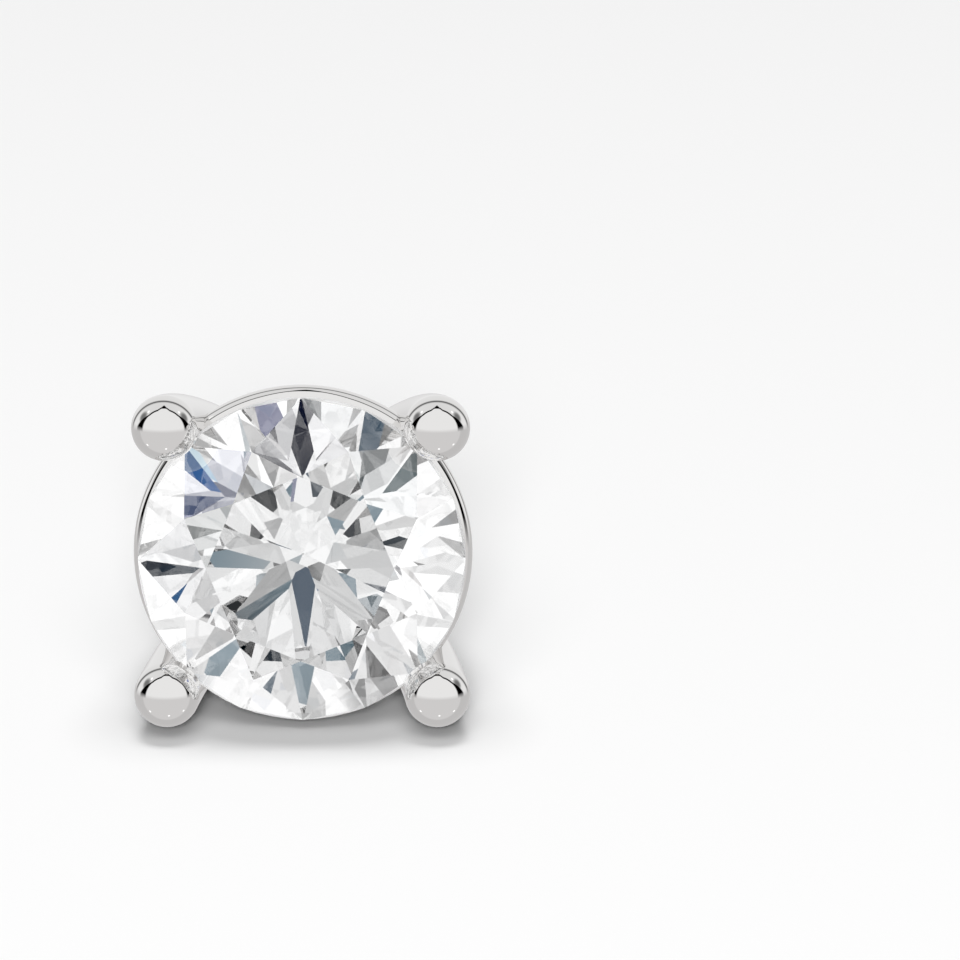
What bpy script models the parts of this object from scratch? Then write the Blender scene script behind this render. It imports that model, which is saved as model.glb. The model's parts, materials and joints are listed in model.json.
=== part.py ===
# A four-prong stud earring: a round brilliant stone in a basket of two bent wires, with a gallery
# rail and a plain post. Every shape is drawn in the stud's own frame: the middle of the stone is
# the origin, the face looks along -Y and the post runs along +Y. At the end an empty lays the stud
# down on its rail and the end of its post, as it lies when it is put on a table.
from math import cos, pi, radians, sin, tan

import bmesh
import bpy
from mathutils import Matrix, Vector

MM = 0.001

# The stone, a round brilliant of half a carat
STONE_DIAMETER = 5.2 * MM
GIRDLE_THICKNESS = 0.16 * MM
TABLE_WIDTH = 2.96 * MM
CULET_WIDTH = 0.03 * MM
CROWN_ANGLE = radians(34.5)
PAVILION_ANGLE = radians(40.75)
STAR_SHARE = 0.5
LOWER_HALF_SHARE = 0.78
MAINS = 8
GIRDLE_SIDES = 64

# The prongs, which are the domed ends of two bent wires that cross behind the stone
PRONG_DIAMETER = 1.045 * MM
PRONG_GRIP = 0.08 * MM
TIP_SET_FORWARD = 0.22 * MM
TIP_LEAN = radians(8)
SHOULDER_LEAN = radians(30)
SIDE_BEND_RADIUS = 8.1 * MM
PRONG_SIDES = 24
TIP_RINGS = 6
SIDE_BEND_STEPS = 6
BOTTOM_BEND_STEPS = 8

# The gallery rail, a ring of round wire that the stone sits on
RAIL_WIRE = 0.5 * MM
RAIL_REACH = 0.11 * MM
RAIL_SIDES = 64
RAIL_WIRE_SIDES = 12

# The post, with a rounded end
POST_DIAMETER = 0.85 * MM
POST_LENGTH = 9.5 * MM
POST_END_ROUND = 0.15 * MM
POST_SIDES = 24

# The room between the stone and the metal that holds it
SEAT_GAP = 0.04 * MM

# What follows from those sizes. A depth is measured back from the middle of the girdle.
stone_radius = STONE_DIAMETER / 2
table_radius = TABLE_WIDTH / 2
half_girdle = GIRDLE_THICKNESS / 2
table_depth = -half_girdle - (stone_radius - table_radius) * tan(CROWN_ANGLE)
culet_radius = CULET_WIDTH / 2
culet_depth = half_girdle + (stone_radius - culet_radius) * tan(PAVILION_ANGLE)
prong_radius = PRONG_DIAMETER / 2
prong_circle = stone_radius + prong_radius - PRONG_GRIP
rail_radius = RAIL_WIRE / 2
rail_circle = stone_radius + RAIL_REACH - rail_radius
rail_stand_off = rail_radius + SEAT_GAP + (stone_radius - rail_circle) * sin(PAVILION_ANGLE)
rail_depth = half_girdle + rail_stand_off / cos(PAVILION_ANGLE)
shoulder_circle = prong_circle - SIDE_BEND_RADIUS * (cos(TIP_LEAN) - cos(SHOULDER_LEAN))
shoulder_depth = SIDE_BEND_RADIUS * (sin(SHOULDER_LEAN) - sin(TIP_LEAN)) - TIP_SET_FORWARD
bottom_bend_radius = shoulder_circle / cos(SHOULDER_LEAN)
crossing_depth = shoulder_depth + bottom_bend_radius * (1 - sin(SHOULDER_LEAN))
basket_back = crossing_depth + prong_radius
post_end = basket_back + POST_LENGTH

# Corners closer together than this are one corner
SAME_POINT = 2e-8
MIDDLE = Vector((0, 0, 0))
BACKWARDS = Vector((0, 1, 0))
UPWARDS = Vector((0, 0, 1))


def clear_scene():
    for obj in list(bpy.data.objects):
        bpy.data.objects.remove(obj, do_unlink=True)


def make_material(name, colour, roughness, metallic=0.0, transmission=0.0, ior=1.5):
    material = bpy.data.materials.new(name)
    material.use_nodes = True
    shader = material.node_tree.nodes["Principled BSDF"]
    shader.inputs["Base Color"].default_value = (*colour, 1)
    shader.inputs["Roughness"].default_value = roughness
    shader.inputs["Metallic"].default_value = metallic
    shader.inputs["Transmission Weight"].default_value = transmission
    shader.inputs["IOR"].default_value = ior
    return material


def make_object(name, bm):
    bmesh.ops.recalc_face_normals(bm, faces=bm.faces)
    mesh = bpy.data.meshes.new(name)
    bm.to_mesh(mesh)
    bm.free()
    obj = bpy.data.objects.new(name, mesh)
    bpy.context.collection.objects.link(obj)
    return obj


def combine(obj, operation, name, bm):
    """Joins a helper solid to an object or cuts it away. The helper isn't a piece by itself."""
    helper = make_object(name, bm)
    helper.hide_render = True
    helper.display_type = "WIRE"
    modifier = obj.modifiers.new(name, "BOOLEAN")
    modifier.operation = operation
    modifier.solver = "EXACT"
    modifier.object = helper


def place(radius, turn, depth):
    """The point this far from the axis, turned clockwise from 12 o'clock, at this depth."""
    return Vector((radius * sin(turn), depth, radius * cos(turn)))


def faces_in(items):
    return [item for item in items if isinstance(item, bmesh.types.BMFace)]


def cut_facet(bm, first, second, third):
    """Grinds the stone down to the plane through three points and closes the cut with a facet."""
    outward = (second - first).cross(third - first).normalized()
    if outward.dot(MIDDLE - first) > 0:
        outward.negate()
    whole = bm.verts[:] + bm.edges[:] + bm.faces[:]
    bmesh.ops.bisect_plane(
        bm, geom=whole, dist=SAME_POINT, plane_co=first, plane_no=outward, clear_outer=True
    )
    rim = [edge for edge in bm.edges if edge.is_boundary]
    if rim:
        bmesh.ops.contextual_create(bm, geom=rim)
    bmesh.ops.remove_doubles(bm, verts=bm.verts, dist=SAME_POINT)


def brilliant():
    """The stone, ground from a round blank: table and culet, then mains, stars and halves."""
    bm = bmesh.new()
    bmesh.ops.create_cone(
        bm,
        cap_ends=True,
        segments=GIRDLE_SIDES,
        radius1=stone_radius,
        radius2=stone_radius,
        depth=4 * culet_depth,
        matrix=Matrix.Rotation(pi / 2, 4, "X"),
    )
    between = 2 * pi / MAINS
    turns = [number * between for number in range(MAINS)]
    cut_facet(bm, *(place(table_radius, turn, table_depth) for turn in turns[:3]))
    cut_facet(bm, *(place(culet_radius, turn, culet_depth) for turn in turns[:3]))
    for turn in turns:
        across = place(stone_radius, turn + pi / 2, 0)
        above = place(stone_radius, turn, -half_girdle)
        below = place(stone_radius, turn, half_girdle)
        cut_facet(bm, above, above + across, place(table_radius, turn, table_depth))
        cut_facet(bm, below, below + across, place(culet_radius, turn, culet_depth))

    # Two mains meet half-way between them, on a line that the stars and the halves run in to
    narrowing = cos(between / 2)
    table_edge = table_radius * narrowing
    star_radius = table_edge + STAR_SHARE * (stone_radius - table_edge)
    star_rise = (stone_radius - star_radius * narrowing) * tan(CROWN_ANGLE)
    half_radius = stone_radius * (1 - LOWER_HALF_SHARE)
    half_drop = (stone_radius - half_radius * narrowing) * tan(PAVILION_ANGLE)
    for turn in turns:
        middle = turn + between / 2
        star_tip = place(star_radius, middle, -half_girdle - star_rise)
        half_tip = place(half_radius, middle, half_girdle + half_drop)
        table_corners = [place(table_radius, end, table_depth) for end in (turn, turn + between)]
        cut_facet(bm, *table_corners, star_tip)
        middle_above = place(stone_radius, middle, -half_girdle)
        middle_below = place(stone_radius, middle, half_girdle)
        for end in (turn, turn + between):
            cut_facet(bm, place(stone_radius, end, -half_girdle), middle_above, star_tip)
            cut_facet(bm, place(stone_radius, end, half_girdle), middle_below, half_tip)
    return bm


def bend(bm, end, centre, angle, steps):
    """Carries the end of a wire round a bend in the plane of X and Y, and returns the new end."""
    turned = bmesh.ops.spin(
        bm, geom=[end], cent=centre, axis=UPWARDS, angle=-angle, steps=steps, use_duplicate=False
    )
    bmesh.ops.delete(bm, geom=[end], context="FACES_ONLY")
    return faces_in(turned["geom_last"])[0]


def dome(bm, end, direction):
    """Closes the end of a wire with a half-round tip, ring by ring, and draws the last one to a point."""
    centre = end.calc_center_median()
    ring = end
    for number in range(1, TIP_RINGS + 1):
        rise = number / TIP_RINGS * pi / 2
        grown = bmesh.ops.extrude_discrete_faces(bm, faces=[ring])
        ring = grown["faces"][0]
        middle = ring.calc_center_median()
        reach = (ring.verts[0].co - middle).length
        for vert in ring.verts:
            outward = (vert.co - middle) / reach
            vert.co = centre + direction * prong_radius * sin(rise) + outward * prong_radius * cos(rise)
    bmesh.ops.pointmerge(bm, verts=ring.verts, merge_co=centre + direction * prong_radius)


def basket_wire(turn):
    """A bent wire with a domed prong at each end. It crosses the axis behind the stone."""
    # A quarter of a side's turn keeps the corners of the two wires apart where they cross
    corner_turn = Matrix.Rotation(pi / PRONG_SIDES / 2, 4, "Z")
    across = Matrix.Rotation(pi / 2, 4, "Y") @ corner_turn
    bm = bmesh.new()
    bmesh.ops.create_circle(
        bm,
        cap_ends=True,
        segments=PRONG_SIDES,
        radius=prong_radius,
        matrix=Matrix.Translation((0, crossing_depth, 0)) @ across,
    )
    start = bm.faces[:][0]
    bottom_centre = Vector((0, crossing_depth - bottom_bend_radius, 0))
    end = bend(bm, start, bottom_centre, pi / 2 - SHOULDER_LEAN, BOTTOM_BEND_STEPS)
    side_centre = Vector((
        shoulder_circle - SIDE_BEND_RADIUS * cos(SHOULDER_LEAN),
        shoulder_depth - SIDE_BEND_RADIUS * sin(SHOULDER_LEAN),
        0,
    ))
    end = bend(bm, end, side_centre, SHOULDER_LEAN - TIP_LEAN, SIDE_BEND_STEPS)
    dome(bm, end, Vector((sin(TIP_LEAN), -cos(TIP_LEAN), 0)))
    whole = bm.verts[:] + bm.edges[:] + bm.faces[:]
    bmesh.ops.mirror(bm, geom=whole, axis="X", merge_dist=SAME_POINT)
    bmesh.ops.rotate(bm, verts=bm.verts, matrix=Matrix.Rotation(turn, 3, "Y"))
    return bm


def turned_ring(profile, sides, turn):
    """A closed outline in the plane of Y and Z, turned all the way round the stud's axis."""
    bm = bmesh.new()
    verts = [bm.verts.new(point) for point in profile]
    for number, vert in enumerate(verts):
        bm.edges.new((verts[number - 1], vert))
    whole = bm.verts[:] + bm.edges[:]
    bmesh.ops.rotate(bm, verts=bm.verts, matrix=Matrix.Rotation(turn, 3, "Y"))
    bmesh.ops.spin(
        bm, geom=whole, cent=MIDDLE, axis=BACKWARDS, angle=2 * pi, steps=sides, use_merge=True
    )
    return bm


def gallery_rail():
    """The rail's wire touches the underside of the stone. It has a flat, not a corner, at the bottom."""
    steps = [number * 2 * pi / RAIL_WIRE_SIDES for number in range(RAIL_WIRE_SIDES)]
    profile = [
        Vector((0, rail_depth + rail_radius * sin(step), rail_circle + rail_radius * cos(step)))
        for step in steps
    ]
    return turned_ring(profile, RAIL_SIDES, pi / RAIL_SIDES)


def seat_bur():
    """What a setting bur takes out of the prongs: the stone's outline with the seat's gap round it."""
    reach = stone_radius + SEAT_GAP
    front_rim = -half_girdle - SEAT_GAP * (1 - sin(CROWN_ANGLE)) / cos(CROWN_ANGLE)
    back_rim = half_girdle + SEAT_GAP * (1 - sin(PAVILION_ANGLE)) / cos(PAVILION_ANGLE)
    bm = bmesh.new()
    front_point = bm.verts.new((0, front_rim - reach * tan(CROWN_ANGLE), 0))
    front_corner = bm.verts.new((0, front_rim, reach))
    back_corner = bm.verts.new((0, back_rim, reach))
    back_point = bm.verts.new((0, back_rim + reach * tan(PAVILION_ANGLE), 0))
    for pair in ((front_point, front_corner), (front_corner, back_corner), (back_corner, back_point)):
        bm.edges.new(pair)
    whole = bm.verts[:] + bm.edges[:]
    bmesh.ops.rotate(bm, verts=bm.verts, matrix=Matrix.Rotation(pi / GIRDLE_SIDES, 3, "Y"))
    bmesh.ops.spin(
        bm, geom=whole, cent=MIDDLE, axis=BACKWARDS, angle=2 * pi, steps=GIRDLE_SIDES, use_merge=True
    )
    bmesh.ops.remove_doubles(bm, verts=bm.verts, dist=SAME_POINT)
    return bm


def post():
    """The post starts inside the crossing of the wires. Its free end is rounded round a flat."""
    length = post_end - crossing_depth
    middle = Matrix.Translation((0, crossing_depth + length / 2, 0))
    lying = Matrix.Rotation(-pi / 2, 4, "X") @ Matrix.Rotation(pi / POST_SIDES, 4, "Z")
    bm = bmesh.new()
    bmesh.ops.create_cone(
        bm,
        cap_ends=True,
        segments=POST_SIDES,
        radius1=POST_DIAMETER / 2,
        radius2=POST_DIAMETER / 2,
        depth=length,
        matrix=middle @ lying,
    )
    near_end = crossing_depth + length / 2
    rim = [edge for edge in bm.edges if all(vert.co.y > near_end for vert in edge.verts)]
    bmesh.ops.bevel(
        bm,
        geom=rim,
        offset=POST_END_ROUND,
        offset_type="OFFSET",
        segments=3,
        profile=0.5,
        affect="EDGES",
        clamp_overlap=True,
    )
    return bm


def make_setting():
    """Two wires, the rail and the post, soldered into one piece, with the stone's seat cut in the prongs."""
    setting = make_object("setting", basket_wire(pi / 4))
    combine(setting, "UNION", "post", post())
    combine(setting, "UNION", "second_basket_wire", basket_wire(-pi / 4))
    combine(setting, "DIFFERENCE", "seat_bur", seat_bur())
    combine(setting, "UNION", "gallery_rail", gallery_rail())
    setting.data.materials.append(
        make_material("white_gold_polished", (0.80, 0.79, 0.78), 0.06, metallic=1.0)
    )
    setting.data.shade_smooth()
    setting.data.set_sharp_from_angle(angle=radians(35))
    return setting


def make_stone():
    stone = make_object("stone", brilliant())
    stone.data.materials.append(
        make_material("diamond", (1.0, 1.0, 1.0), 0.0, transmission=1.0, ior=2.417)
    )
    return stone


def lay_down(pieces):
    """Tips the stud back until the head and the post's end touch the floor together."""
    bpy.context.view_layer.update()
    graph = bpy.context.evaluated_depsgraph_get()
    points = []
    for piece in pieces:
        mesh = piece.evaluated_get(graph).to_mesh()
        points += [vert.co.copy() for vert in mesh.vertices]
    head = [point for point in points if point.y < basket_back]
    tail = [point for point in points if point.y > basket_back]

    def tipped(tilt):
        return Matrix.Rotation(-tilt, 3, "X")

    def lowest(some, tilt):
        return min((tipped(tilt) @ point).z for point in some)

    too_flat, too_steep = 0.0, pi / 3
    for _ in range(50):
        tilt = (too_flat + too_steep) / 2
        if lowest(head, tilt) < lowest(tail, tilt):
            too_flat = tilt
        else:
            too_steep = tilt
    lying = [tipped(tilt) @ point for point in points]
    sides = [[point[axis] for point in lying] for axis in range(3)]
    rest = bpy.data.objects.new("at_rest", None)
    bpy.context.collection.objects.link(rest)
    rest.rotation_euler = (-tilt, 0, 0)
    rest.location = (
        -(min(sides[0]) + max(sides[0])) / 2,
        -(min(sides[1]) + max(sides[1])) / 2,
        -min(sides[2]),
    )
    for obj in bpy.data.objects:
        if obj != rest:
            obj.parent = rest


clear_scene()
lay_down([make_setting(), make_stone()])
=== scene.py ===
# %% [markdown]
# This is a stud earring, a round brilliant in a basket of two bent wires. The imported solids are
# loaded first, because they say where every piece is. The stone's solid has the true flat facets
# and stays. The setting's solid has too few faces for a mirror finish, so a finer one is drawn in
# its place.

# %% Load the stud
import json
from math import acos, cos, pi, radians, sin, tan

import bmesh
import bpy
from mathutils import Matrix, Vector


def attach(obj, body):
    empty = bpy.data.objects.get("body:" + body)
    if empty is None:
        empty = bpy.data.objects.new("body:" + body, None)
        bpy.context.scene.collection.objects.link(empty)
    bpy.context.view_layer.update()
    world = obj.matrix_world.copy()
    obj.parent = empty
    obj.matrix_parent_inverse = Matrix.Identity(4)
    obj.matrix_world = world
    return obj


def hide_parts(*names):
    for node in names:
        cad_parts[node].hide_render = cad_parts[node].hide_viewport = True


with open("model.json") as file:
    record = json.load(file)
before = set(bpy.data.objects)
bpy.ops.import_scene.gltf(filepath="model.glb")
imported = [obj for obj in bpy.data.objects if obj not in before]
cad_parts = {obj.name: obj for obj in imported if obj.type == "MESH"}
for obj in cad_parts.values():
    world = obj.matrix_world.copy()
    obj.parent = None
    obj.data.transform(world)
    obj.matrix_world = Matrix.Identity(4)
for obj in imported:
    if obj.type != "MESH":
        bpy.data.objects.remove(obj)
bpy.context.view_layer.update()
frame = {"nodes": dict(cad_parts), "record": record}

print("nodes:", ", ".join(sorted(frame["nodes"])))

# %% [markdown]
# The stud lies on a table, tipped back until its rail and the end of its post touch it. All of
# its parts are easier to draw on the stud's own axes, with the middle of the stone as the origin,
# the face along -Y and the post along +Y. The sizes are those that the solids were built with. The
# record says where the post ends and which way it points, and one matrix made from that carries
# each finished piece to its place on the table.

# %% Sizes of the stud
MM = 0.001

STONE_DIAMETER = 5.2 * MM
GIRDLE_THICKNESS = 0.16 * MM
CROWN_ANGLE = radians(34.5)
PAVILION_ANGLE = radians(40.75)

PRONG_DIAMETER = 1.045 * MM
PRONG_GRIP = 0.08 * MM
TIP_SET_FORWARD = 0.22 * MM
TIP_LEAN = radians(8)
SHOULDER_LEAN = radians(30)
SIDE_BEND_RADIUS = 8.1 * MM

RAIL_WIRE = 0.5 * MM
RAIL_REACH = 0.11 * MM
RAIL_SEAT_GAP = 0.04 * MM

POST_DIAMETER = 0.85 * MM
POST_LENGTH = 9.5 * MM
POST_END_ROUND = 0.15 * MM

stone_radius = STONE_DIAMETER / 2
half_girdle = GIRDLE_THICKNESS / 2
prong_radius = PRONG_DIAMETER / 2
prong_circle = stone_radius + prong_radius - PRONG_GRIP
rail_radius = RAIL_WIRE / 2
rail_circle = stone_radius + RAIL_REACH - rail_radius
rail_stand_off = rail_radius + RAIL_SEAT_GAP + (stone_radius - rail_circle) * sin(PAVILION_ANGLE)
rail_depth = half_girdle + rail_stand_off / cos(PAVILION_ANGLE)
shoulder_circle = prong_circle - SIDE_BEND_RADIUS * (cos(TIP_LEAN) - cos(SHOULDER_LEAN))
shoulder_depth = SIDE_BEND_RADIUS * (sin(SHOULDER_LEAN) - sin(TIP_LEAN)) - TIP_SET_FORWARD
bottom_bend_radius = shoulder_circle / cos(SHOULDER_LEAN)
crossing_depth = shoulder_depth + bottom_bend_radius * (1 - sin(SHOULDER_LEAN))
post_end = crossing_depth + prong_radius + POST_LENGTH
print(f"rail {rail_depth / MM:.2f} mm behind the girdle, post ends {post_end / MM:.2f} mm behind it")

# %% The stud's own axes
mounts = {mount["name"]: mount for mount in frame["record"]["mounts"]}
post_way = Vector(mounts["post_end"]["axis"]).normalized()
rest_tilt = acos(post_way.y)
stone_middle = Vector(mounts["post_end"]["pos_m"]) - post_way * post_end
laid_down = Matrix.Translation(stone_middle) @ Matrix.Rotation(-rest_tilt, 4, "X")
print(f"tipped back {rest_tilt * 180 / pi:.2f} degrees, stone {stone_middle.z / MM:.2f} mm up")

# %% [markdown]
# A basket setting is bent from two wires. Each is a hairpin whose two ends stand up as prongs, and
# the two cross behind the stone. A short piece of round section, spun along the bends, is the same
# move that a pair of round-nosed pliers makes. The ends are then domed with a cup bur, ring by
# ring, so that nothing catches on cloth. The photograph shows the domes as near mirrors, so the
# wire gets many sides.

# %% Basket wires
WIRE_SIDES = 96
TIP_RINGS = 20
SIDE_BEND_STEPS = 20
BOTTOM_BEND_STEPS = 36
SAME_POINT = 2e-8
UPWARDS = Vector((0, 0, 1))


def bend(bm, end, centre, angle, steps):
    """Carries the end of a wire round a bend in the plane of X and Y, and returns the new end."""
    bent = bmesh.ops.spin(
        bm, geom=[end], cent=centre, axis=UPWARDS, angle=-angle, steps=steps, use_duplicate=False
    )
    bmesh.ops.delete(bm, geom=[end], context="FACES_ONLY")
    return [item for item in bent["geom_last"] if isinstance(item, bmesh.types.BMFace)][0]


def dome(bm, end, direction):
    """Closes the end of a wire with a half-round tip, ring by ring, and draws the last to a point."""
    centre = end.calc_center_median()
    ring = end
    for number in range(1, TIP_RINGS + 1):
        rise = number / TIP_RINGS * pi / 2
        ring = bmesh.ops.extrude_discrete_faces(bm, faces=[ring])["faces"][0]
        middle = ring.calc_center_median()
        reach = (ring.verts[0].co - middle).length
        for vert in ring.verts:
            outward = (vert.co - middle) / reach
            vert.co = centre + direction * prong_radius * sin(rise) + outward * prong_radius * cos(rise)
    bmesh.ops.pointmerge(bm, verts=ring.verts, merge_co=centre + direction * prong_radius)


def basket_wire(turn):
    """A bent wire with a domed prong at each end, turned about the stud's axis."""
    # A quarter of a side's turn keeps the corners of the two wires apart where they cross
    corner_turn = Matrix.Rotation(pi / WIRE_SIDES / 2, 4, "Z")
    across = Matrix.Rotation(pi / 2, 4, "Y") @ corner_turn
    bm = bmesh.new()
    bmesh.ops.create_circle(
        bm,
        cap_ends=True,
        segments=WIRE_SIDES,
        radius=prong_radius,
        matrix=Matrix.Translation((0, crossing_depth, 0)) @ across,
    )
    start = bm.faces[:][0]
    bottom_centre = Vector((0, crossing_depth - bottom_bend_radius, 0))
    end = bend(bm, start, bottom_centre, pi / 2 - SHOULDER_LEAN, BOTTOM_BEND_STEPS)
    side_centre = Vector((
        shoulder_circle - SIDE_BEND_RADIUS * cos(SHOULDER_LEAN),
        shoulder_depth - SIDE_BEND_RADIUS * sin(SHOULDER_LEAN),
        0,
    ))
    end = bend(bm, end, side_centre, SHOULDER_LEAN - TIP_LEAN, SIDE_BEND_STEPS)
    dome(bm, end, Vector((sin(TIP_LEAN), -cos(TIP_LEAN), 0)))
    whole = bm.verts[:] + bm.edges[:] + bm.faces[:]
    bmesh.ops.mirror(bm, geom=whole, axis="X", merge_dist=SAME_POINT)
    bmesh.ops.rotate(bm, verts=bm.verts, matrix=Matrix.Rotation(turn, 3, "Y"))
    return bm


print(f"wires: {PRONG_DIAMETER / MM:.3f} mm thick, prongs {2 * prong_circle / MM:.2f} mm apart")

# %% [markdown]
# The gallery rail is a ring of thin round wire, and the stone's underside sits on it. A full spin
# of a small circle makes it, with its last section welded to its first.

# %% Gallery rail
RAIL_SIDES = 192
RAIL_WIRE_SIDES = 36
MIDDLE = Vector((0, 0, 0))
BACKWARDS = Vector((0, 1, 0))


def turned(profile, sides, closed):
    """An outline in the plane of Y and Z, turned all the way round the stud's axis."""
    bm = bmesh.new()
    verts = [bm.verts.new((0, depth, radius)) for depth, radius in profile]
    for number in range(0 if closed else 1, len(verts)):
        bm.edges.new((verts[number - 1], verts[number]))
    whole = bm.verts[:] + bm.edges[:]
    bmesh.ops.rotate(bm, verts=bm.verts, matrix=Matrix.Rotation(pi / sides, 3, "Y"))
    bmesh.ops.spin(
        bm, geom=whole, cent=MIDDLE, axis=BACKWARDS, angle=2 * pi, steps=sides, use_merge=True
    )
    bmesh.ops.remove_doubles(bm, verts=bm.verts, dist=SAME_POINT)
    return bm


def gallery_rail():
    steps = [number * 2 * pi / RAIL_WIRE_SIDES for number in range(RAIL_WIRE_SIDES)]
    profile = [
        (rail_depth + rail_radius * sin(step), rail_circle + rail_radius * cos(step))
        for step in steps
    ]
    return turned(profile, RAIL_SIDES, closed=True)


print(f"rail: {2 * (rail_circle + rail_radius) / MM:.2f} mm across its outside")

# %% [markdown]
# The post is drawn wire, cut to length, and its free end is rounded so that it goes through the
# ear easily. A cylinder with one bevelled rim is all it needs.

# %% Post
POST_SIDES = 64
POST_END_STEPS = 8


def post():
    length = post_end - crossing_depth
    middle = Matrix.Translation((0, crossing_depth + length / 2, 0))
    bm = bmesh.new()
    bmesh.ops.create_cone(
        bm,
        cap_ends=True,
        segments=POST_SIDES,
        radius1=POST_DIAMETER / 2,
        radius2=POST_DIAMETER / 2,
        depth=length,
        matrix=middle @ Matrix.Rotation(-pi / 2, 4, "X") @ Matrix.Rotation(pi / POST_SIDES, 4, "Z"),
    )
    near_end = crossing_depth + length / 2
    rim = [edge for edge in bm.edges if all(vert.co.y > near_end for vert in edge.verts)]
    bmesh.ops.bevel(
        bm,
        geom=rim,
        offset=POST_END_ROUND,
        offset_type="OFFSET",
        segments=POST_END_STEPS,
        profile=0.5,
        material=-1,
        affect="EDGES",
        clamp_overlap=True,
    )
    return bm


print(f"post: {POST_DIAMETER / MM:.2f} mm thick, {POST_LENGTH / MM:.1f} mm beyond the wires")

# %% [markdown]
# The setter cuts a notch for the girdle into each prong with a bur of the stone's own outline. The
# same turned shape, a hair larger than the stone, is taken away from the prongs here.

# %% Seat
SEAT_GAP = 0.008 * MM
BUR_SIDES = 192


def seat_bur():
    reach = stone_radius + SEAT_GAP
    front_rim = -half_girdle - SEAT_GAP * (1 - sin(CROWN_ANGLE)) / cos(CROWN_ANGLE)
    back_rim = half_girdle + SEAT_GAP * (1 - sin(PAVILION_ANGLE)) / cos(PAVILION_ANGLE)
    corners = [
        (front_rim - reach * tan(CROWN_ANGLE), 0),
        (front_rim, reach),
        (back_rim, reach),
        (back_rim + reach * tan(PAVILION_ANGLE), 0),
    ]
    return turned(corners, BUR_SIDES, closed=False)


print(f"seat: {SEAT_GAP / MM:.3f} mm wider than the stone all round")

# %% [markdown]
# Solder makes one piece of wires, rail and post, and a Boolean union does that to their meshes, so
# that no face is left inside the metal. The joined mesh is read back and the helper solids are
# removed.

# %% Solder the setting
SHARP_ANGLE = radians(28)


def make_object(name, bm):
    """An object made of a finished bmesh, with its faces looking outward."""
    bmesh.ops.recalc_face_normals(bm, faces=bm.faces)
    mesh = bpy.data.meshes.new(name)
    bm.to_mesh(mesh)
    bm.free()
    obj = bpy.data.objects.new(name, mesh)
    bpy.context.collection.objects.link(obj)
    return obj


def join_up(obj, steps):
    """Unites helper solids with an object or cuts them away, in order, and keeps the result alone."""
    helpers = []
    for operation, name, bm in steps:
        helper = make_object(name, bm)
        modifier = obj.modifiers.new(name, "BOOLEAN")
        modifier.operation = operation
        modifier.solver = "EXACT"
        modifier.object = helper
        helpers.append(helper)
    graph = bpy.context.evaluated_depsgraph_get()
    joined = bpy.data.meshes.new_from_object(obj.evaluated_get(graph))
    obj.modifiers.clear()
    obj.data = joined
    for helper in helpers:
        bpy.data.objects.remove(helper, do_unlink=True)


setting = make_object("polished_setting", basket_wire(pi / 4))
join_up(setting, [
    ("UNION", "post", post()),
    ("UNION", "second_wire", basket_wire(-pi / 4)),
    ("DIFFERENCE", "seat_bur", seat_bur()),
    ("UNION", "gallery_rail", gallery_rail()),
])
setting.data.transform(laid_down)
setting.data.shade_smooth()
setting.data.set_sharp_from_angle(angle=SHARP_ANGLE)
print("setting:", len(setting.data.polygons), "faces")

# %% [markdown]
# Two small helpers serve all the finishes below. One turns a screen colour into the linear light
# that shaders reckon in, where a middle grey is much nearer to black. The other adds a shader node
# with its settings and links, so that a finish reads as a short list of nodes.

# %% Colours and nodes
def linear(code):
    """A hex colour as seen on a screen, as linear red, green, blue and alpha."""
    parts = [int(code[start:start + 2], 16) / 255 for start in (1, 3, 5)]
    return (*[p / 12.92 if p <= 0.04045 else ((p + 0.055) / 1.055) ** 2.4 for p in parts], 1)


def add_node(tree, kind, settings=(), links=()):
    """Adds a node. Settings name its properties or its sockets, and links feed its sockets."""
    added = tree.nodes.new(kind)
    for name, value in dict(settings).items():
        if isinstance(name, str) and hasattr(added, name):
            setattr(added, name, value)
        else:
            added.inputs[name].default_value = value
    for name, source in dict(links).items():
        tree.links.new(source, added.inputs[name])
    return added


print(f"middle grey in linear light: {linear('#808080')[0]:.3f}")

# %% [markdown]
# The metal is white gold, plated with rhodium and polished on a felt wheel. Rhodium is a bright
# metal almost without a tint, a little darker than silver. The wheel leaves a mirror with the
# faintest waviness, so the roughness is low and changes slowly over the surface.

# %% Rhodium-plated white gold
POLISH_GRAIN = 0.4 * MM
SMOOTHEST = 0.015
ROUGHEST = 0.045


def rhodium_plated_white_gold():
    material = bpy.data.materials.new("rhodium_plated_white_gold")
    material.use_nodes = True
    tree = material.node_tree
    shader = tree.nodes["Principled BSDF"]
    shader.inputs["Base Color"].default_value = linear("#e6e5e4")
    shader.inputs["Metallic"].default_value = 1
    place = add_node(tree, "ShaderNodeTexCoord")
    polish = add_node(
        tree, "ShaderNodeTexNoise", {"Scale": 1 / POLISH_GRAIN, "Detail": 2},
        {"Vector": place.outputs["Object"]},
    )
    rough = add_node(
        tree, "ShaderNodeMapRange", {"To Min": SMOOTHEST, "To Max": ROUGHEST},
        {"Value": polish.outputs["Fac"]},
    )
    tree.links.new(rough.outputs["Result"], shader.inputs["Roughness"])
    return material


setting.data.materials.clear()
setting.data.materials.append(rhodium_plated_white_gold())
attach(setting, "root")
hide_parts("setting")
print(f"metal: {setting.data.materials[0].name}, roughness {SMOOTHEST} to {ROUGHEST}")

# %% [markdown]
# A diamond is carbon with nothing in it: colourless, with an index of 2.417, ground to flat facets
# that are polished on a wheel. Its solid has the true facets, so flat shading and clear glass of
# that index are enough, and the sparkle comes from the studio. Only the girdle is left as it was
# ground, so it is frosted. It is the part that lies within half its thickness of the stone's middle.

# %% Diamond
DIAMOND_INDEX = 2.417
GIRDLE_ROUGHNESS = 0.35
FROST_MARGIN = 0.005 * MM
FROST_FADE = 0.005 * MM


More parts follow.
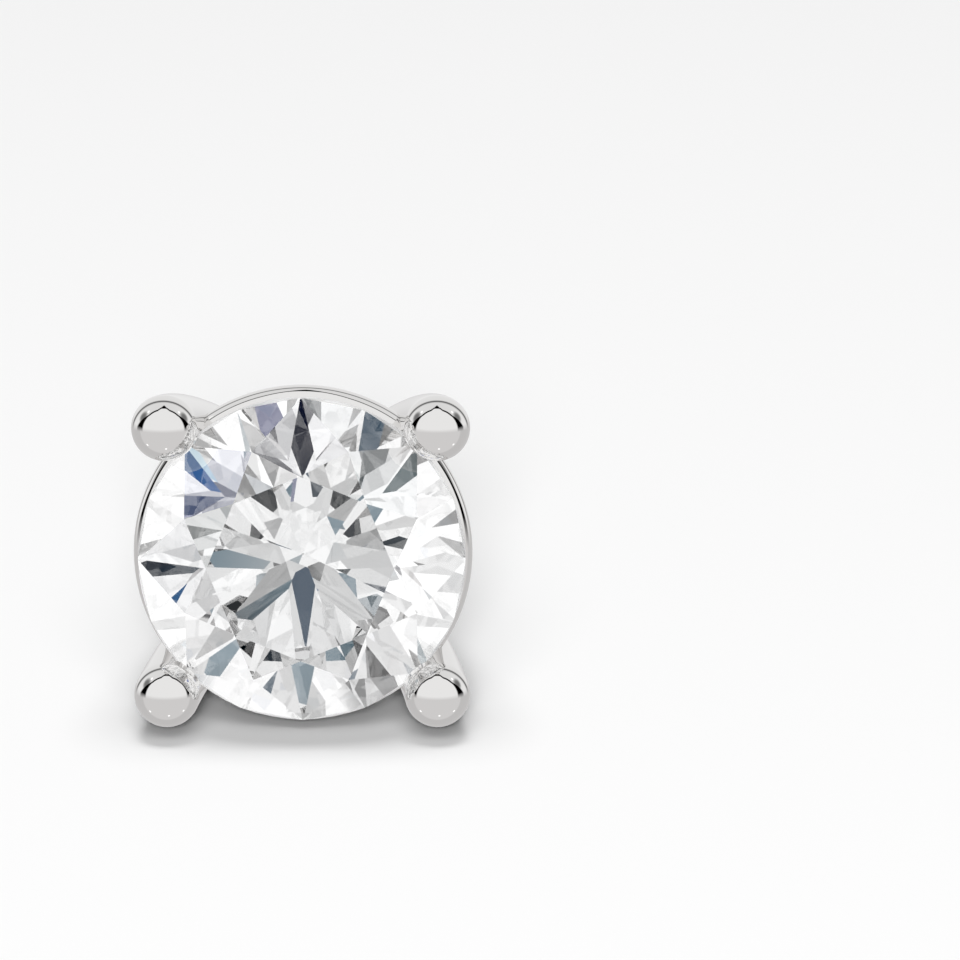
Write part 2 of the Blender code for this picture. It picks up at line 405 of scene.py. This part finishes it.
def diamond():
    material = bpy.data.materials.new("cut_diamond")
    material.use_nodes = True
    tree = material.node_tree
    shader = tree.nodes["Principled BSDF"]
    shader.inputs["Base Color"].default_value = (1, 1, 1, 1)
    shader.inputs["IOR"].default_value = DIAMOND_INDEX
    shader.inputs["Transmission Weight"].default_value = 1
    upright = laid_down.inverted()
    place = add_node(tree, "ShaderNodeTexCoord")
    on_axes = add_node(
        tree, "ShaderNodeMapping",
        {"Location": upright.translation, "Rotation": upright.to_euler()},
        {"Vector": place.outputs["Object"]},
    )
    depth = add_node(tree, "ShaderNodeSeparateXYZ", (), {0: on_axes.outputs["Vector"]}).outputs["Y"]
    off_middle = add_node(tree, "ShaderNodeMath", {"operation": "ABSOLUTE"}, {0: depth})
    frost = add_node(
        tree, "ShaderNodeMapRange",
        {
            "From Min": half_girdle - FROST_MARGIN - FROST_FADE,
            "From Max": half_girdle - FROST_MARGIN,
            "To Min": GIRDLE_ROUGHNESS,
            "To Max": 0,
        },
        {"Value": off_middle.outputs[0]},
    )
    tree.links.new(frost.outputs["Result"], shader.inputs["Roughness"])
    return material


stone = frame["nodes"]["stone"]
stone.data.materials.clear()
stone.data.materials.append(diamond())
print(f"stone: {len(stone.data.polygons)} faces, index {DIAMOND_INDEX}")

# %% [markdown]
# The stud lies on a plain pale table in a white tent, as small jewels are photographed. One flat
# grid is enough for it. Its paper is matt, so it shows the shadow and nothing else. The table takes
# no part in the mirror images, because what the metal shows below is the tent's floor, and the
# world draws that.

# %% Table
TABLE_HALF_WIDTH = 600 * MM
PAPER_ROUGHNESS = 0.9
bm = bmesh.new()
bmesh.ops.create_grid(bm, x_segments=1, y_segments=1, size=TABLE_HALF_WIDTH)
table = make_object("table", bm)
paper = bpy.data.materials.new("white_paper")
paper.use_nodes = True
paper_shader = paper.node_tree.nodes["Principled BSDF"]
paper_shader.inputs["Base Color"].default_value = linear("#f4f4f4")
paper_shader.inputs["Roughness"].default_value = PAPER_ROUGHNESS
paper_shader.inputs["Specular IOR Level"].default_value = 0
table.data.materials.append(paper)
table.visible_glossy = False
table.visible_transmission = False
print(f"table: {2 * TABLE_HALF_WIDTH / MM:.0f} mm square")

# %% [markdown]
# What a mirror shows is its studio, so the tent is drawn with care, on the stud's own axes. It is a
# world made of nodes and not a room of real walls, because a drawn wall has no noise and costs no
# time. Discs stand for lamps, shades and cards. Each has its place in degrees from the way the
# stone faces, to the right and up, then its radius in degrees and its colour.

# %% Discs
# The colour mix has its sockets by number, because its sockets for other data bear the same names
FACTOR, FIRST, SECOND, MIXED = 0, 6, 7, 2
CARD_EDGE = 0.12
SHADE_EDGE = 0.7


def hang_cards(tree, seen, direction, cards, edge):
    """Draws discs over what is seen. The edge is soft over that share of the radius, both ways."""
    for (across, up), radius, code in cards:
        spread = radians((across ** 2 + up ** 2) ** 0.5)
        side = Vector((across, 0, up)).normalized() * sin(spread)
        way = side - BACKWARDS * cos(spread)
        facing = add_node(
            tree, "ShaderNodeVectorMath", {"operation": "DOT_PRODUCT", 1: way}, {0: direction}
        )
        cover = add_node(
            tree,
            "ShaderNodeMapRange",
            {
                "interpolation_type": "SMOOTHSTEP",
                "From Min": cos(radians(radius * (1 + edge))),
                "From Max": cos(radians(radius * (1 - edge))),
            },
            {"Value": facing.outputs["Value"]},
        )
        seen = add_node(
            tree, "ShaderNodeMix", {"data_type": "RGBA", SECOND: linear(code)},
            {FACTOR: cover.outputs["Result"], FIRST: seen},
        ).outputs[MIXED]
    return seen


print(f"discs fade over {CARD_EDGE:.0%} of their radius, shades over {SHADE_EDGE:.0%}")

# %% [markdown]
# Seen in the domes of the prongs, a white panel hangs in front and overhead. A black seam closes it
# off: a thin line over most of its way, broad at the horizon, with a small peak overhead. Behind
# the seam hangs a second panel with a soft grey shade at either side, then a round one in a dark
# rim. The floor is a darker grey behind the stud than in front of it. All the colours are dimmer
# than they look, so that the small lamps can be brighter than the panels.

# %% Tent round the metal
METAL_LIGHT = 1.5
PANEL = "#d5d5d5"
PANEL_OVERHEAD = "#c8c8c8"
SEAM = "#000000"
FLOOR_IN_FRONT = "#bdbcbc"
FLOOR_BEHIND = "#afaeae"
METAL_SHADES = [
    ((-82, 43), 11, "#686868"),
    ((82, 43), 11, "#686868"),
]
UPPER_CARDS = [
    # the round panel behind, in its dark rim
    ((0, 163), 51, "#0c0c0c"),
    ((0, 163), 43, "#cccccc"),
    # small lamps on the second panel
    ((-62, 65), 4, "#f0f0f0"),
    ((62, 65), 4, "#f0f0f0"),
]
LOW_LAMPS = [
    ((-59, -59), 3, "#ffffff"),
    ((7, -70), 3, "#ffffff"),
    ((59, -59), 3, "#ffffff"),
]
# How far back the seam's middle lies, as a part of a direction of length 1. It is farther forward
# to the sides, which makes the peak, and farther back low down.
PEAK_REACH = 0.3
BACK_AT_PEAK = -0.04
BACK_ASIDE = -0.24
SWEEP_TOP = 0.67
BACK_LOW_DOWN = 0.27
# Half of the seam's width. It narrows upwards to a thin line, with a knot at the peak.
WEDGE_TOP = 0.6
WIDE_LOW_DOWN = 0.24
THIN_HIGH_UP = 0.05
KNOT_REACH = 0.12
KNOT_SIZE = 0.08
SEAM_EDGE = 0.2


def seam_place(tree, parts):
    """How far a direction is behind the seam's middle, counted in halves of the seam's width."""
    aside = add_node(tree, "ShaderNodeMath", {"operation": "ABSOLUTE"}, {0: parts["X"]}).outputs[0]
    peak = add_node(
        tree, "ShaderNodeMapRange",
        {"From Max": PEAK_REACH, "To Min": BACK_AT_PEAK, "To Max": BACK_ASIDE},
        {"Value": aside},
    )
    sweep = add_node(
        tree, "ShaderNodeMapRange", {"From Max": SWEEP_TOP, "To Min": BACK_LOW_DOWN, "To Max": 0},
        {"Value": parts["Z"]},
    )
    middle = add_node(
        tree, "ShaderNodeMath", (), {0: peak.outputs["Result"], 1: sweep.outputs["Result"]}
    )
    wedge = add_node(
        tree, "ShaderNodeMapRange",
        {"From Max": WEDGE_TOP, "To Min": WIDE_LOW_DOWN, "To Max": THIN_HIGH_UP},
        {"Value": parts["Z"]},
    )
    knot = add_node(
        tree, "ShaderNodeMapRange", {"From Max": KNOT_REACH, "To Min": KNOT_SIZE, "To Max": 0},
        {"Value": aside},
    )
    half_width = add_node(
        tree, "ShaderNodeMath", (), {0: wedge.outputs["Result"], 1: knot.outputs["Result"]}
    )
    beyond = add_node(
        tree, "ShaderNodeMath", {"operation": "SUBTRACT"},
        {0: parts["Y"], 1: middle.outputs[0]},
    )
    return add_node(
        tree, "ShaderNodeMath", {"operation": "DIVIDE"},
        {0: beyond.outputs[0], 1: half_width.outputs[0]},
    ).outputs[0]


def metal_tent(tree, direction):
    """The panel in front, the seam, what hangs behind it, the floor, and the small lamps low down."""
    parts = add_node(tree, "ShaderNodeSeparateXYZ", (), {0: direction}).outputs
    place = seam_place(tree, parts)
    enters = add_node(
        tree, "ShaderNodeMapRange", {"From Min": -1 - SEAM_EDGE, "From Max": -1 + SEAM_EDGE},
        {"Value": place},
    )
    leaves = add_node(
        tree, "ShaderNodeMapRange", {"From Min": 1 - SEAM_EDGE, "From Max": 1 + SEAM_EDGE},
        {"Value": place},
    )
    second_panel = add_node(
        tree, "ShaderNodeMix",
        {"data_type": "RGBA", FIRST: linear(PANEL), SECOND: linear(PANEL_OVERHEAD)},
        {FACTOR: parts["Z"]},
    )
    shaded = hang_cards(tree, second_panel.outputs[MIXED], direction, METAL_SHADES, SHADE_EDGE)
    shaded = hang_cards(tree, shaded, direction, UPPER_CARDS, CARD_EDGE)
    seam = add_node(
        tree, "ShaderNodeMix", {"data_type": "RGBA", FIRST: linear(SEAM)},
        {FACTOR: leaves.outputs["Result"], SECOND: shaded},
    )
    upper = add_node(
        tree, "ShaderNodeMix", {"data_type": "RGBA", FIRST: linear(PANEL)},
        {FACTOR: enters.outputs["Result"], SECOND: seam.outputs[MIXED]},
    )
    # The floor changes its grey straight below the stud
    behind = add_node(
        tree, "ShaderNodeMapRange", {"From Min": -0.05, "From Max": 0.05}, {"Value": parts["Y"]}
    )
    floor = add_node(
        tree, "ShaderNodeMix",
        {"data_type": "RGBA", FIRST: linear(FLOOR_IN_FRONT), SECOND: linear(FLOOR_BEHIND)},
        {FACTOR: behind.outputs["Result"]},
    )
    # The horizon is soft, as where a backdrop curves up from the floor
    rises = add_node(
        tree, "ShaderNodeMapRange", {"From Min": -0.15, "From Max": 0.05}, {"Value": parts["Z"]}
    )
    seen = add_node(
        tree, "ShaderNodeMix", {"data_type": "RGBA"},
        {FACTOR: rises.outputs["Result"], FIRST: floor.outputs[MIXED], SECOND: upper.outputs[MIXED]},
    )
    seen = hang_cards(tree, seen.outputs[MIXED], direction, LOW_LAMPS, CARD_EDGE)
    strength = add_node(
        tree, "ShaderNodeVectorMath", {"operation": "SCALE", "Scale": METAL_LIGHT}, {0: seen}
    )
    return strength.outputs["Vector"]


print("metal sees", len(METAL_SHADES) + len(UPPER_CARDS) + len(LOW_LAMPS), "discs and a seam")

# %% [markdown]
# The cut of the stone throws the light of many small directions at the eye, and a stone in an
# all-white tent looks dull. So a photographer hangs cards round it: what is black in the stone is
# mostly the camera and its rim, the greys are flags to the right, and the blues are light from a
# window between them. Each was hung where a facet looks, and made as bright as that facet
# is. Later cards hang in front of earlier ones, and one lamp makes them all a little brighter.

# %% Cards round the stone
STONE_LIGHT = 1.25
TENT_IN_FRONT = "#f4f4f4"
TENT_BEHIND = "#959595"
STONE_CARDS = [
    # the floor, and the side wall
    ((0, -78), 42, "#c8c8c8"),
    ((65, 20), 14, "#c0c0c0"),
    ((67, 60), 5, "#686868"),
    # a grey halo of light that falls off round the camera
    ((5, 0), 24, "#cccccc"),
    ((12, 25), 5, "#c8c8c8"),
    ((27, 15), 3, "#cecece"),
    ((10, -11), 4, "#f0f0f0"),
    ((-4, -22), 5, "#f0f0f0"),
    ((-10, -20), 2, "#a0a4a8"),
    # the flag on the right, with gaps and gels
    ((38, 6), 14, "#6e6e6e"),
    ((33, 30), 11, "#6e6e6e"),
    ((46, 20), 6, "#6e6e6e"),
    ((24, 36), 4, "#343a6c"),
    ((29, 37), 3, "#4b535f"),
    ((31, 25), 3, "#202020"),
    ((50, 3), 5, "#284458"),
    ((50, 39), 6, "#a0a8ac"),
    ((46, 58), 5, "#707070"),
    ((60, 35), 4, "#a8a8a8"),
    ((15, 75), 5, "#808a90"),
    # small shades near the camera
    ((5, -4), 3, "#a0a0a0"),
    ((-1, -5), 2, "#b8b8b8"),
    ((3, 27), 2, "#b0c8d4"),
    ((9, 28), 2, "#5a6e78"),
    ((20, 29), 2, "#a8a8a8"),
    ((23, 14), 2, "#b0b0b0"),
    ((21, -3), 2, "#a8a8a8"),
    # the camera, its steel-blue rim and what shows at its edge
    ((-2, 9.5), 12, "#647a86"),
    ((8, 10), 2, "#3c4854"),
    ((-1.5, 11), 10, "#000408"),
    ((-12, 15), 2.5, "#000000"),
    ((6, 2), 2, "#000000"),
    ((-2, 2.5), 2, "#304458"),
    ((-12, 24), 8, "#ffffff"),
    ((-7, 17), 2, "#245482"),
    ((8, 20), 2, "#20383c"),
    # small cards, each for a single facet
    ((-54, -25), 3, "#505860"),
    ((-32, -19), 3, "#ffffff"),
    ((22, 33), 3, "#808080"),
    ((1, -7), 2, "#707070"),
    ((8, -9), 2, "#b8b8b8"),
    ((-29, -20), 3, "#606060"),
    ((-42, -29), 5, "#808084"),
    ((-42, 4), 4, "#a0a8a8"),
    ((-71, -15), 6, "#182440"),
    ((-53, 37), 4, "#5060a0"),
    ((-2, 59), 2, "#182048"),
    ((-2, -12), 2, "#606468"),
    ((-18, -52), 4, "#000000"),
    ((14, -52), 4, "#001014"),
    ((15, 30), 3, "#303030"),
    ((19, -19), 4, "#707070"),
    ((-36, 18), 2, "#2c4470"),
    ((-31, -16), 2, "#303840"),
    ((-2, 24), 1.5, "#202030"),
]


def stone_tent(tree, direction):
    """White in front, grey behind the stud, and the cards before it."""
    back = add_node(tree, "ShaderNodeSeparateXYZ", (), {0: direction}).outputs["Y"]
    # The change is soft and starts a little behind the plane of the girdle
    behind = add_node(
        tree, "ShaderNodeMapRange", {"From Min": 0.05, "From Max": 0.25}, {"Value": back}
    )
    seen = add_node(
        tree, "ShaderNodeMix",
        {"data_type": "RGBA", FIRST: linear(TENT_IN_FRONT), SECOND: linear(TENT_BEHIND)},
        {FACTOR: behind.outputs["Result"]},
    )
    seen = hang_cards(tree, seen.outputs[MIXED], direction, STONE_CARDS, CARD_EDGE)
    return add_node(
        tree, "ShaderNodeVectorMath", {"operation": "SCALE", "Scale": STONE_LIGHT}, {0: seen}
    ).outputs["Vector"]


print("the stone sees", len(STONE_CARDS), "cards")

# %% [markdown]
# One world holds both. Clear glass bends its rays without any blur, and the shader nodes call such
# rays singular, so the kind of ray tells the stone's light from the metal's. The camera sees plain
# white beyond the table. The table gets no light from the tent, only from the three lamps below, so
# the world needs no samples of its own.

# %% Tent
BACKDROP = "#fafafa"
NO_LIGHT = "#000000"


def tent():
    world = bpy.data.worlds.new("tent")
    world.cycles.sampling_method = "NONE"
    world.use_nodes = True
    tree = world.node_tree
    outward = add_node(tree, "ShaderNodeTexCoord").outputs["Generated"]
    direction = add_node(
        tree, "ShaderNodeVectorRotate", {"rotation_type": "X_AXIS", "Angle": rest_tilt},
        {"Vector": outward},
    ).outputs[0]
    ray = add_node(tree, "ShaderNodeLightPath").outputs
    seen = add_node(
        tree, "ShaderNodeMix", {"data_type": "RGBA"},
        {
            FACTOR: ray["Is Singular Ray"],
            FIRST: metal_tent(tree, direction),
            SECOND: stone_tent(tree, direction),
        },
    )
    seen = add_node(
        tree, "ShaderNodeMix", {"data_type": "RGBA", SECOND: linear(NO_LIGHT)},
        {FACTOR: ray["Is Diffuse Ray"], FIRST: seen.outputs[MIXED]},
    )
    seen = add_node(
        tree, "ShaderNodeMix", {"data_type": "RGBA", SECOND: linear(BACKDROP)},
        {FACTOR: ray["Is Camera Ray"], FIRST: seen.outputs[MIXED]},
    )
    tree.links.new(seen.outputs[MIXED], tree.nodes["Background"].inputs["Color"])
    return world


bpy.context.scene.world = tent()
print("tent:", len(bpy.context.scene.world.node_tree.nodes), "nodes")

# %% [markdown]
# Three soft boxes light the table, and mirrors don't show them. The key hangs nearly overhead, a
# little behind the stud, so the shadow comes forward: crisp along the stud and soft at its front
# edge. A broad one in front opens the shadow step by step, and the fill stands by the camera, where
# its own shadow stays hidden behind the stud. All are far off, so the table is evenly bright.

# %% Lamps
LAMP_DISTANCE = 600 * MM


def soft_lamp(name, height_angle, across, along, watts):
    """Faces the stud from a height angle counted from the table behind it, over to the front."""
    light = bpy.data.lights.new(name, "AREA")
    light.shape = "ELLIPSE"
    light.size = across
    light.size_y = along
    light.energy = watts
    lamp = bpy.data.objects.new(name, light)
    lamp.matrix_world = Matrix.Rotation(height_angle - pi / 2, 4, "X") @ Matrix.Translation(
        UPWARDS * LAMP_DISTANCE
    )
    lamp.visible_glossy = False
    lamp.visible_transmission = False
    bpy.context.collection.objects.link(lamp)


soft_lamp("key", radians(84), across=320 * MM, along=260 * MM, watts=1.86)
soft_lamp("front", radians(128), across=420 * MM, along=420 * MM, watts=1.5)
soft_lamp("fill", radians(158), across=160 * MM, along=160 * MM, watts=2.64)
print(f"lamps: three, {LAMP_DISTANCE / MM:.0f} mm from the stud")

# %% [markdown]
# The camera stands where the photograph's camera stood to the stud: at the same distance, eleven
# degrees above its axis. Its place is given on the stud's own axes and carried to the table with
# the same matrix as the pieces. The focal length is given in pixels of the picture, because that is
# what the size of the stud in the photograph gives.

# %% Camera
SENSOR_WIDTH = 36
FOCAL_PIXELS = 5219.46
PICTURE_PIXELS = 960
CAMERA_PLACE = Vector((2.83, -81.42, 15.925)) * MM
CAMERA_PITCH = radians(10.2)
camera_data = bpy.data.cameras.new("camera")
camera_data.sensor_width = SENSOR_WIDTH
camera_data.lens = SENSOR_WIDTH * FOCAL_PIXELS / PICTURE_PIXELS
camera_data.clip_start = 1 * MM
camera_data.clip_end = 10
camera = bpy.data.objects.new("camera", camera_data)
camera.matrix_world = laid_down @ Matrix.Translation(CAMERA_PLACE) @ Matrix.Rotation(
    pi / 2 - CAMERA_PITCH, 4, "X"
)
bpy.context.collection.objects.link(camera)
bpy.context.scene.camera = camera
print(f"camera: {camera.location.z / MM:.1f} mm above the table, lens {camera_data.lens:.1f} mm")

# %% [markdown]
# The plain view keeps the white of the paper white. Light takes many turns inside the stone before
# it comes out, so the rays need many bounces. Caustics are left out, because the bright spots they
# would throw on the table are mostly noise.

# %% Picture
scene = bpy.context.scene
scene.view_settings.view_transform = "Standard"
scene.cycles.max_bounces = 40
scene.cycles.transmission_bounces = 32
scene.cycles.glossy_bounces = 16
scene.cycles.caustics_reflective = False
scene.cycles.caustics_refractive = False
scene.cycles.blur_glossy = 0
scene.cycles.use_denoising = True
print("bounces: up to", scene.cycles.max_bounces)
